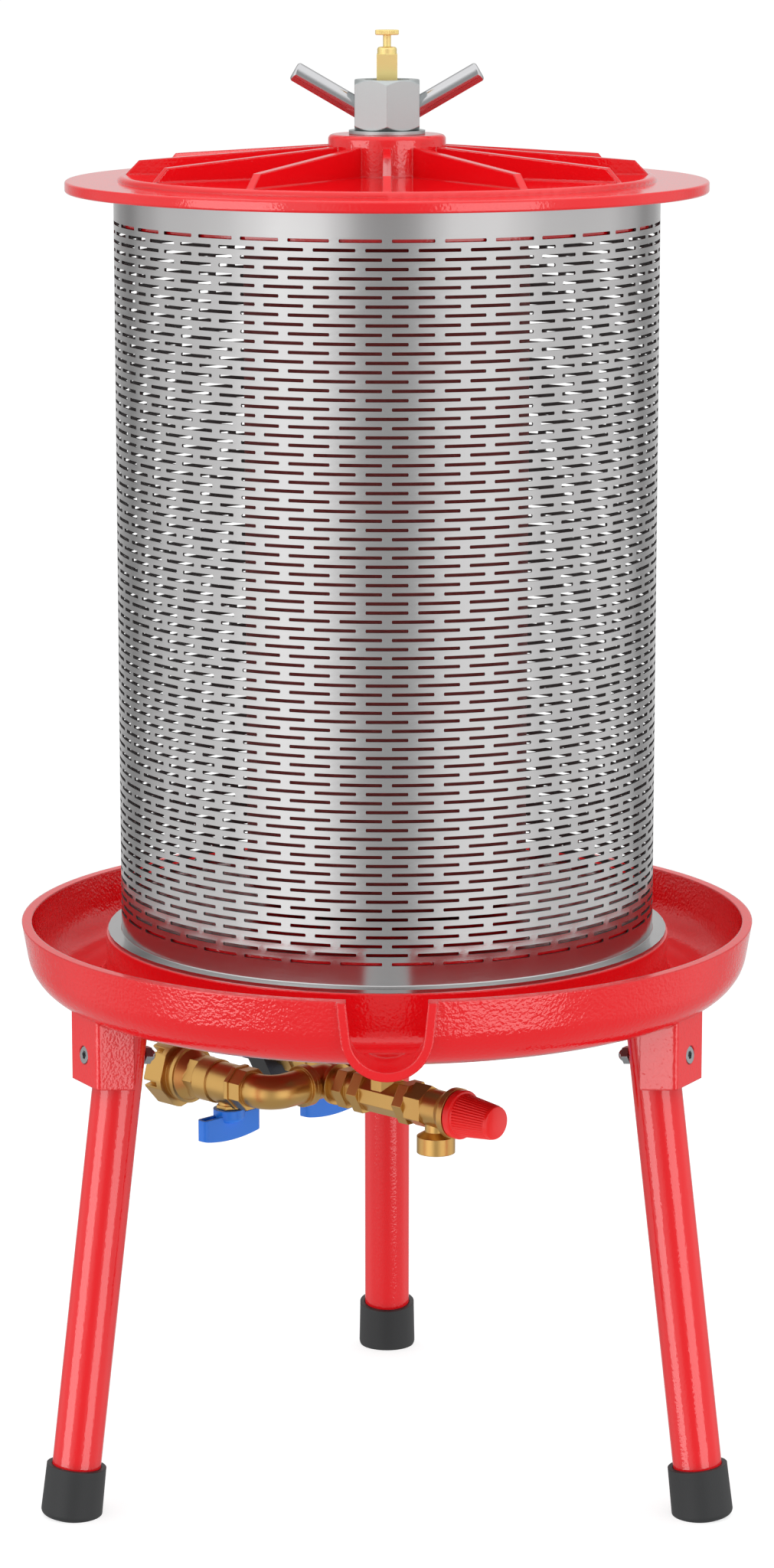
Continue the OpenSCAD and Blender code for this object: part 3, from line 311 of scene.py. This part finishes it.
# Dark and light shades, roughness range, grain, relief, edge rounding, share of bare metal
METALS = {
    "basket_steel": ((0.445, 0.440, 0.440), (0.485, 0.480, 0.480), (0.15, 0.20), ROLLED, 0.05, 0.0, 0.95),
    # painted shade: a darker copy of the basket steel for the slot walls and the inside, standing in for
    # the shade within the basket
    "basket_inside": ((0.140, 0.135, 0.135), (0.180, 0.172, 0.172), (0.40, 0.50), ROLLED, 0.05, 0.0, 1.0),
    "nut_steel": ((0.41, 0.44, 0.44), (0.46, 0.49, 0.49), (0.34, 0.42), TURNED, 0.03, 0.8 * MM, 1.0),
    "rod_steel": ((0.44, 0.44, 0.45), (0.50, 0.50, 0.51), (0.10, 0.18), POLISHED, 0.02, 0.6 * MM, 1.0),
    "bolt_steel": ((0.36, 0.37, 0.38), (0.44, 0.45, 0.46), (0.14, 0.24), POLISHED, 0.02, 0.5 * MM, 1.0),
    "brass": ((0.59, 0.348, 0.110), (0.67, 0.408, 0.132), (0.30, 0.38), TURNED, 0.03, 0.7 * MM, 1.0),
    "bleed_brass": ((0.82, 0.680, 0.285), (0.88, 0.730, 0.315), (0.44, 0.50), TURNED, 0.03, 0.5 * MM, 1.0),
}

# Dark and light shades, roughness range, dimple scale, relief, edge rounding
MOULDINGS = {
    "blue_grip": ((0.008, 0.178, 0.80), (0.011, 0.215, 0.92), (0.20, 0.28), 900.0, 0.06, 0.9 * MM),
    "red_cap": ((0.93, 0.009, 0.009), (0.97, 0.014, 0.014), (0.24, 0.34), 900.0, 0.06, 0.6 * MM),
    "black_plug": ((0.008, 0.008, 0.009), (0.016, 0.016, 0.018), (0.35, 0.50), 900.0, 0.10, 0.8 * MM),
    "white_seat": ((0.70, 0.70, 0.66), (0.80, 0.80, 0.77), (0.35, 0.45), 900.0, 0.05, 0.0),
    "foot_rubber": ((0.012, 0.013, 0.014), (0.022, 0.023, 0.024), (0.46, 0.60), 1400.0, 0.18, 1.2 * MM),
    "seal_rubber": ((0.010, 0.010, 0.010), (0.022, 0.022, 0.022), (0.50, 0.65), 1400.0, 0.15, 0.0),
    "bladder_rubber": ((0.28, 0.030, 0.028), (0.36, 0.040, 0.036), (0.45, 0.62), 700.0, 0.25, 0.0),
}

FINISH = {}
for make_finish, values in ((coated, COATS), (metal, METALS), (moulded, MOULDINGS)):
    for finish_name, settings in values.items():
        FINISH[finish_name] = make_finish(finish_name, *settings)

NODE_FINISH = {
    "red_cast": ["tray"],
    "red_lid": ["lid"],
    "red_tube": ["leg_left", "leg_right", "leg_back"],
    "foot_rubber": ["foot_left", "foot_right", "foot_back"],
    "bolt_steel": ["leg_bolts", "leg_nuts", "bladder_clamp_bottom", "bladder_clamp_top", "inlet_ball",
                   "inlet_stem", "inlet_handle_screw", "drain_ball", "drain_stem", "drain_handle_screw"],
    "nut_steel": ["handle_nut", "lid_washer", "spindle", "spindle_locknut"],
    "rod_steel": ["nut_handle_left", "nut_handle_right"],
    "basket_steel": ["basket"],
    "bladder_rubber": ["bladder"],
    "bleed_brass": ["bleed_valve_body", "bleed_screw"],
    "brass": ["centre_tee", "main_nipple", "side_tee", "inlet_elbow", "drain_elbow", "hose_coupling",
              "drain_nipple", "relief_valve_body", "inlet_valve_body", "inlet_valve_end",
              "inlet_gland_nut", "drain_valve_body", "drain_valve_end", "drain_gland_nut"],
    "blue_grip": ["inlet_handle", "drain_handle"],
    "red_cap": ["relief_valve_cap"],
    "black_plug": ["drain_connector"],
    "white_seat": ["inlet_ball_seats", "drain_ball_seats"],
    "seal_rubber": ["spindle_gasket", "bleed_seal", "coupling_seal"],
}


def dress_solids():
    for finish, names in NODE_FINISH.items():
        for name in names:
            slots = nodes[name].data.materials
            slots.clear()
            slots.append(FINISH[finish])


# Mesh helpers

MERGE = 1e-6


def finish_piece(bm, name, finish, body, replaced, sharp):
    mesh = bpy.data.meshes.new(name)
    bm.to_mesh(mesh)
    bm.free()
    for polygon in mesh.polygons:
        polygon.use_smooth = True
    mesh.set_sharp_from_angle(angle=math.radians(sharp))
    mesh.materials.append(FINISH[finish])
    piece = bpy.data.objects.new(name, mesh)
    bpy.context.scene.collection.objects.link(piece)
    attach(piece, body)
    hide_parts(replaced)
    return piece


def made_verts(made):
    return [part for part in made["geom"] if isinstance(part, bmesh.types.BMVert)]


# The basket's sheet: eighty rows of thirty-four slots, the rows staggered by half a slot

BASKET_R = 165.0 * MM
SLOT_ROWS = 80
SLOTS = 34
SLOT_HALF_L = 12.55 * MM
SLOT_HALF_H = 1.0 * MM
SLOT_END = 0.4 * MM
FIRST_ROW_UP = 15.6 * MM
ROW_PITCH = 5.352 * MM
SHEET_T = 1.2 * MM
FLANGE_T = 2.3 * MM
FLANGE_FILLET = 0.8 * MM
FILLET_STEPS = 3
# A face of the sheet that looks out less than this is a slot's wall or the inside, and gets the darker
# steel of painted shade
OUTWARD = 0.5


def slot_cell(bm, radius, low, high):
    """One slot's share of the sheet: a window with eased ends in a curved panel."""
    half_turn = math.pi / SLOTS
    middle = (low + high) / 2

    def point(turn, z):
        return bm.verts.new((radius * math.sin(turn), -radius * math.cos(turn), z))

    tip = SLOT_HALF_L / radius
    shoulder = (SLOT_HALF_L - SLOT_END) / radius
    top = [point(t, high) for t in (-half_turn, 0.0, half_turn)]
    foot = [point(t, low) for t in (-half_turn, 0.0, half_turn)]
    side = [point(t, middle) for t in (-half_turn, half_turn)]
    upper = [point(t, middle + SLOT_HALF_H) for t in (-shoulder, 0.0, shoulder)]
    lower = [point(t, middle - SLOT_HALF_H) for t in (-shoulder, 0.0, shoulder)]
    ends = [point(t, middle) for t in (-tip, tip)]
    for corners in (
        (upper[0], upper[1], top[1], top[0]),
        (upper[1], upper[2], top[2], top[1]),
        (foot[0], foot[1], lower[1], lower[0]),
        (foot[1], foot[2], lower[2], lower[1]),
        (side[0], ends[0], upper[0], top[0]),
        (foot[0], lower[0], ends[0], side[0]),
        (ends[1], side[1], top[2], upper[2]),
        (lower[2], foot[2], side[1], ends[1]),
    ):
        bm.faces.new(corners)


def extrude_ring(bm, z, to_z, scale=1.0):
    """Carries the open edge at one height on to another height and radius."""
    ring = [e for e in bm.edges if e.is_boundary and all(abs(v.co.z - z) < MERGE for v in e.verts)]
    for vert in made_verts(bmesh.ops.extrude_edge_only(bm, edges=ring)):
        vert.co.x *= scale
        vert.co.y *= scale
        vert.co.z = to_z


def make_basket():
    flange_r = (basket_high.x - basket_low.x) / 2
    bm = bmesh.new()
    first = LEDGE_Z + FIRST_ROW_UP
    slot_cell(bm, BASKET_R, first - ROW_PITCH / 2, first + ROW_PITCH / 2)
    bmesh.ops.spin(bm, geom=bm.verts[:] + bm.edges[:] + bm.faces[:], cent=(0, 0, 0), axis=(0, 0, 1),
                   angle=2 * math.pi * (SLOTS - 1) / SLOTS, steps=SLOTS - 1, use_duplicate=True)
    bmesh.ops.remove_doubles(bm, verts=bm.verts, dist=MERGE)
    row = bm.verts[:] + bm.edges[:] + bm.faces[:]
    half = math.pi / SLOTS
    for number in range(1, SLOT_ROWS):
        verts = made_verts(bmesh.ops.duplicate(bm, geom=row))
        # the stagger starts again at mid height, so two rows there stand in line
        step = number % 2 if number < SLOT_ROWS // 2 else (number + 1) % 2
        bmesh.ops.rotate(bm, verts=verts, cent=(0, 0, 0), matrix=Matrix.Rotation(half * step, 3, "Z"))
        bmesh.ops.translate(bm, verts=verts, vec=(0, 0, ROW_PITCH * number))
    # turn the lowest rows so that a gap, not a slot, faces the spout
    bmesh.ops.rotate(bm, verts=bm.verts, cent=(0, 0, 0), matrix=Matrix.Rotation(half, 3, "Z"))
    bmesh.ops.remove_doubles(bm, verts=bm.verts, dist=2 * MERGE)
    top = first + ROW_PITCH * (SLOT_ROWS - 0.5)
    foot = first - ROW_PITCH / 2
    extrude_ring(bm, top, BASKET_TOP_Z)
    flat_z = LEDGE_Z + FLANGE_T
    last_z = flat_z + FLANGE_FILLET
    last_r = BASKET_R
    extrude_ring(bm, foot, last_z)
    for part in range(1, FILLET_STEPS + 1):
        turn = part * math.pi / 2 / FILLET_STEPS
        next_r = BASKET_R + FLANGE_FILLET * (1 - math.cos(turn))
        next_z = flat_z + FLANGE_FILLET * (1 - math.sin(turn))
        extrude_ring(bm, last_z, next_z, next_r / last_r)
        last_z = next_z
        last_r = next_r
    extrude_ring(bm, last_z, last_z, flange_r / last_r)
    bmesh.ops.recalc_face_normals(bm, faces=bm.faces)
    bmesh.ops.solidify(bm, geom=bm.faces[:], thickness=SHEET_T)
    # the flange is thicker than the sheet, and lies on the ledge
    for vert in bm.verts:
        if vert.co.z < flat_z - SHEET_T / 2:
            vert.co.z = LEDGE_Z
    # the slot walls and the inside take the darker steel of painted shade
    for face in bm.faces:
        middle = face.calc_center_median()
        outward = (face.normal.x * middle.x + face.normal.y * middle.y) / BASKET_R
        if foot < middle.z < top and outward < OUTWARD:
            face.material_index = 1
    bmesh.ops.translate(bm, verts=bm.verts, vec=SPINDLE)
    piece = finish_piece(bm, "basket_sheet", "basket_steel", "basket", "basket", 25.0)
    piece.data.materials.append(FINISH["basket_inside"])


# The bladder: a rubber barrel with soft lengthwise folds, whose full shoulders hang over the clamped necks

NECK_R = 20.4 * MM
NECK_BORE_R = 13.9 * MM
NECK_L = 16.0 * MM
# How far out from the neck the folds begin
NECK_EASE = 2.0 * MM
SIDE_UP = 17.0 * MM
SIDE_PARTS = 8
BLADDER_SIDES = 96
# Radius of each point of a shoulder, and its height above the neck's foot, in mm
SHOULDER = [(23.5, 18.2), (27.5, 18.8), (31.5, 17.2), (34.5, 13.2), (36.5, 8.0), (39.0, 2.0), (43.0, -4.0),
            (49.0, -8.0), (57.0, -9.6), (66.0, -9.6), (74.0, -7.8), (80.5, -3.6), (84.8, 2.6), (86.6, 9.5)]
FOLDS = 12
FOLD_DEPTH = 0.018
FOLD_TWIST = 3.0


def make_bladder():
    low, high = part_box("bladder")
    reach = (high.x - low.x) / 2
    shoulder = [(r * MM, low.z + up * MM) for r, up in SHOULDER]
    rise = high.z - low.z - 2 * SIDE_UP
    side = [(reach, low.z + SIDE_UP + rise * k / SIDE_PARTS) for k in range(SIDE_PARTS + 1)]
    points = [(NECK_BORE_R, low.z), (NECK_R, low.z), (NECK_R, low.z + NECK_L)]
    points += shoulder + side
    points += [(r, low.z + high.z - z) for r, z in reversed(shoulder)]
    points += [(NECK_R, high.z - NECK_L), (NECK_R, high.z), (NECK_BORE_R, high.z)]
    bm = bmesh.new()
    row = [bm.verts.new((r, 0.0, z)) for r, z in points]
    edges = [bm.edges.new(pair) for pair in zip(row, row[1:] + row[:1])]
    bmesh.ops.spin(bm, geom=row + edges, cent=(0, 0, 0), axis=(0, 0, 1), angle=2 * math.pi,
                   steps=BLADDER_SIDES, use_merge=True)
    bmesh.ops.remove_doubles(bm, verts=bm.verts, dist=MERGE)
    bmesh.ops.recalc_face_normals(bm, faces=bm.faces)
    for vert in bm.verts:
        flat = math.hypot(vert.co.x, vert.co.y)
        if flat < NECK_R + NECK_EASE:
            continue
        turn = math.atan2(vert.co.y, vert.co.x)
        share = (flat - NECK_R) / (reach - NECK_R)
        fold = 1.0 - FOLD_DEPTH * share * (0.5 + 0.5 * math.cos(FOLDS * turn + FOLD_TWIST * vert.co.z))
        vert.co.x *= fold
        vert.co.y *= fold
    bmesh.ops.translate(bm, verts=bm.verts, vec=SPINDLE)
    finish_piece(bm, "bladder_skin", "bladder_rubber", "stand", "bladder", 60.0)


# The bleed screw's head: a coin with a straight knurl round its edge

SCREW_HEAD_T = 2.3 * MM
SCREW_STEM_R = 2.4 * MM
SCREW_STEM_SIDES = 32
KNURL_TEETH = 36
KNURL_ROOT = 0.945
COIN_RIM = 0.5 * MM
COIN_STEP = 0.35 * MM


def make_bleed_screw():
    low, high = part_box("bleed_screw")
    head_r = (high.x - low.x) / 2
    bm = bmesh.new()
    disc = bmesh.ops.create_circle(bm, segments=2 * KNURL_TEETH, radius=head_r, cap_ends=True)
    for vert in disc["verts"][1::2]:
        vert.co.x *= KNURL_ROOT
        vert.co.y *= KNURL_ROOT
    bmesh.ops.translate(bm, verts=bm.verts, vec=(0, 0, high.z - SCREW_HEAD_T))
    lifted = made_verts(bmesh.ops.extrude_face_region(bm, geom=bm.faces[:]))
    bmesh.ops.translate(bm, verts=lifted, vec=(0, 0, SCREW_HEAD_T))
    ends = [f for f in bm.faces if len(f.verts) == 2 * KNURL_TEETH]
    bmesh.ops.inset_region(bm, faces=ends, thickness=COIN_RIM, depth=COIN_STEP)
    bmesh.ops.recalc_face_normals(bm, faces=bm.faces)
    stem_top = high.z - SCREW_HEAD_T * 0.5
    stem = bmesh.ops.create_cone(bm, segments=SCREW_STEM_SIDES, radius1=SCREW_STEM_R, radius2=SCREW_STEM_R,
                                 cap_ends=True, depth=stem_top - low.z)
    bmesh.ops.translate(bm, verts=stem["verts"], vec=(0, 0, (stem_top + low.z) / 2))
    bmesh.ops.translate(bm, verts=bm.verts, vec=SPINDLE)
    finish_piece(bm, "bleed_screw_knurled", "bleed_brass", "bleed_screw", "bleed_screw", 30.0)


# The relief cap: a smooth skirt, then a ribbed cone with a rounded end

CAP_RIBS = 44
CAP_SIDES = 4 * CAP_RIBS
# Distance from the back and step in from the skirt's radius, in mm
CAP_SKIRT = [(0.0, 0.5), (0.5, 0.0), (4.0, 0.0), (4.7, 0.5)]
# Distance from the back, radius and depth between the ribs, in mm
CAP_NECK = [(5.0, 13.6, 0.0), (6.0, 13.3, 0.0), (6.2, 13.4, 0.5)]
# Distance from the end, radius and depth between the ribs, in mm
CAP_END = [(2.6, 10.9, 0.4), (2.2, 10.7, 0.0), (1.2, 10.5, 0.0), (0.4, 10.1, 0.0), (0.0, 9.2, 0.0)]


def shape_cap_ring(verts, along, radius, dip):
    for vert in verts:
        turn = math.atan2(vert.co.y, vert.co.x)
        number = round(turn / (2 * math.pi) * CAP_SIDES) % 4
        reach = radius - (dip if number in (2, 3) else 0.0)
        vert.co = Vector((math.cos(turn) * reach, math.sin(turn) * reach, along))


def make_relief_cap():
    joint = next(j for j in frame["joints"] if j["name"] == "relief_cap_turn")
    axis = Vector(joint["axis"]).normalized()
    centre = Vector(joint["pos_m"])
    low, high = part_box("relief_valve_cap")
    places = [(v.co - centre).dot(axis) for v in nodes["relief_valve_cap"].data.vertices]
    back = min(places)
    length = max(places) - back
    skirt_r = (high.z - low.z) / 2
    stations = [(along * MM, skirt_r - step * MM, 0.0) for along, step in CAP_SKIRT]
    stations += [(along * MM, r * MM, dip * MM) for along, r, dip in CAP_NECK]
    stations += [(length - short * MM, r * MM, dip * MM) for short, r, dip in CAP_END]
    bm = bmesh.new()
    bmesh.ops.create_circle(bm, segments=CAP_SIDES, radius=1.0)
    edges = bm.edges[:]
    shape_cap_ring(bm.verts[:], *stations[0])
    for station in stations[1:]:
        made = bmesh.ops.extrude_edge_only(bm, edges=edges)
        edges = [part for part in made["geom"] if isinstance(part, bmesh.types.BMEdge)]
        shape_cap_ring(made_verts(made), *station)
    bmesh.ops.holes_fill(bm, edges=bm.edges, sides=CAP_SIDES)
    bmesh.ops.recalc_face_normals(bm, faces=bm.faces)
    turn = Vector((0, 0, 1)).rotation_difference(axis).to_matrix()
    bmesh.ops.rotate(bm, verts=bm.verts, cent=(0, 0, 0), matrix=turn)
    bmesh.ops.translate(bm, verts=bm.verts, vec=centre + axis * back)
    finish_piece(bm, "relief_cap_ribbed", "red_cap", "relief_cap", "relief_valve_cap", 30.0)


# Floor and light

FLOOR_R = 1.3
FLOOR_SIDES = 96
FLOOR_SHADE = (0.36, 0.36, 0.36)
FLOOR_GLOW = 0.72
WHITE = (1.0, 1.0, 1.0, 1.0)

# The tent's brightness, then how bright gloss sees its sides at each turn from the camera's side
TENT_LIGHT = 1.15
TENT_BANDS = [(0, 0.46), (10, 0.55), (18, 0.91), (28, 1.27), (46, 1.34), (58, 1.14), (72, 0.93), (90, 0.87),
              (106, 0.87), (122, 0.63), (138, 0.34), (152, 0.42), (166, 0.56), (180, 0.60)]
# How much brighter the tent is at the front left and the back right
TENT_LEAN = 0.17
# What gloss sees overhead and below, and the heights between which the sides pass into it
TENT_ROOF = 1.30
TENT_RISE = (0.45, 0.85)
TENT_FOOT = 0.45
TENT_FALL = (-0.60, -0.32)
# What the tent gives matt surfaces: at eye level, overhead and from below, with the heights between
SOFT_LEVEL = 0.89
SOFT_ROOF = 1.20
SOFT_RISE = (0.1, 0.9)
SOFT_UNDER = 0.82
SOFT_FALL = (-0.75, -0.40)
LEAST_LEVEL = 0.0001

# Strip lamps for the red coat: turn from the camera's side, width, foot and head heights (m), radiance
STRIPS = [(-55, 1.9, -1.2, 2.0, 3.3), (37, 1.9, -1.6, 2.0, 2.7)]
STRIP_AWAY = 3.0


def grey(value):
    return (value, value, value)


def make_floor():
    bm = bmesh.new()
    bmesh.ops.create_circle(bm, cap_ends=True, segments=FLOOR_SIDES, radius=FLOOR_R)
    mesh = bpy.data.meshes.new("studio_floor")
    bm.to_mesh(mesh)
    bm.free()
    floor = bpy.data.objects.new("studio_floor", mesh)
    bpy.context.scene.collection.objects.link(floor)
    material, tree, shader = start_finish("studio_floor", FLOOR_SHADE, 0.0, 1.0)
    shader.inputs["Emission Color"].default_value = WHITE
    shader.inputs["Emission Strength"].default_value = FLOOR_GLOW
    # seen from below, the floor is clear
    side = tree.nodes.new("ShaderNodeNewGeometry")
    clear = tree.nodes.new("ShaderNodeBsdfTransparent")
    mix = tree.nodes.new("ShaderNodeMixShader")
    tree.links.new(side.outputs["Backfacing"], mix.inputs["Fac"])
    tree.links.new(shader.outputs["BSDF"], mix.inputs[1])
    tree.links.new(clear.outputs["BSDF"], mix.inputs[2])
    tree.links.new(mix.outputs["Shader"], tree.nodes["Material Output"].inputs["Surface"])
    mesh.materials.append(material)
    floor.visible_diffuse = False
    floor.visible_glossy = False
    floor.visible_shadow = False


def make_bands(tree, share):
    """Soft upright bands round the tent, by the turn from the camera's side."""
    bands = tree.nodes.new("ShaderNodeValToRGB")
    marks = bands.color_ramp.elements
    bands.color_ramp.interpolation = "EASE"
    marks.remove(marks[1])
    for number, (turn, shade) in enumerate(TENT_BANDS):
        spot = (1.0 - math.cos(math.radians(turn))) / 2
        mark = marks.new(spot) if number else marks[0]
        mark.position = spot
        mark.color = (*grey(shade), 1.0)
    tree.links.new(share, bands.inputs["Fac"])
    return bands.outputs["Color"]


def make_light():
    """A white tent all round. Gloss sees its sides as soft bands, which the steel then mirrors."""
    world = bpy.data.worlds.new("white_tent")
    world.use_nodes = True
    world.cycles.sampling_method = "NONE"
    tree = world.node_tree
    sky = tree.nodes["Background"]
    place = tree.nodes.new("ShaderNodeTexCoord")
    axes = tree.nodes.new("ShaderNodeSeparateXYZ")
    tree.links.new(place.outputs["Generated"], axes.inputs[0])
    x, y, z = axes.outputs
    square = add_math(tree, "ADD", add_math(tree, "MULTIPLY", x, x), add_math(tree, "MULTIPLY", y, y))
    square = add_math(tree, "MAXIMUM", square, LEAST_LEVEL)
    level = add_math(tree, "SQRT", square)
    share = add_math(tree, "MULTIPLY_ADD", add_math(tree, "DIVIDE", y, level), 0.5, 0.5)
    corner = add_math(tree, "DIVIDE", add_math(tree, "MULTIPLY", x, y), square)
    lean = tree.nodes.new("ShaderNodeVectorMath")
    lean.operation = "SCALE"
    tree.links.new(make_bands(tree, share), lean.inputs[0])
    tree.links.new(add_math(tree, "MULTIPLY_ADD", corner, TENT_LEAN, 1.0), lean.inputs["Scale"])
    mirrored = add_mix(tree, soft_step(tree, z, TENT_FALL), grey(TENT_FOOT), lean.outputs[0])
    mirrored = add_mix(tree, soft_step(tree, z, TENT_RISE), mirrored, grey(TENT_ROOF))
    soft = add_mix(tree, soft_step(tree, z, SOFT_RISE), grey(SOFT_LEVEL), grey(SOFT_ROOF))
    soft = add_mix(tree, soft_step(tree, z, SOFT_FALL), grey(SOFT_UNDER), soft)
    path = tree.nodes.new("ShaderNodeLightPath")
    shade = add_mix(tree, path.outputs["Is Glossy Ray"], soft, mirrored)
    tree.links.new(shade, sky.inputs["Color"])
    sky.inputs["Strength"].default_value = TENT_LIGHT
    bpy.context.scene.world = world
    bpy.context.scene.view_settings.view_transform = "Standard"


def make_strips():
    """Two tall strips at the sides that only draw gloss, and only on the coated pieces."""
    coat = bpy.data.collections.new("coated_pieces")
    for finish in COATS:
        for name in NODE_FINISH[finish]:
            coat.objects.link(nodes[name])
    for number, (turn, width, low, high, radiance) in enumerate(STRIPS):
        data = bpy.data.lights.new("strip_%d" % number, "AREA")
        data.shape = "RECTANGLE"
        data.size = width
        data.size_y = high - low
        data.energy = radiance * math.pi * width * (high - low)
        lamp = bpy.data.objects.new("strip_%d" % number, data)
        angle = math.radians(turn)
        away = Vector((math.sin(angle), -math.cos(angle), 0.0)) * STRIP_AWAY
        lamp.location = SPINDLE + away + Vector((0.0, 0.0, (low + high) / 2))
        lamp.rotation_euler = (math.radians(90.0), 0.0, angle)
        lamp.visible_camera = False
        lamp.visible_diffuse = False
        lamp.light_linking.receiver_collection = coat
        bpy.context.scene.collection.objects.link(lamp)


make_camera()
dress_solids()
make_basket()
make_bladder()
make_bleed_screw()
make_relief_cap()
make_floor()
make_light()
make_strips()
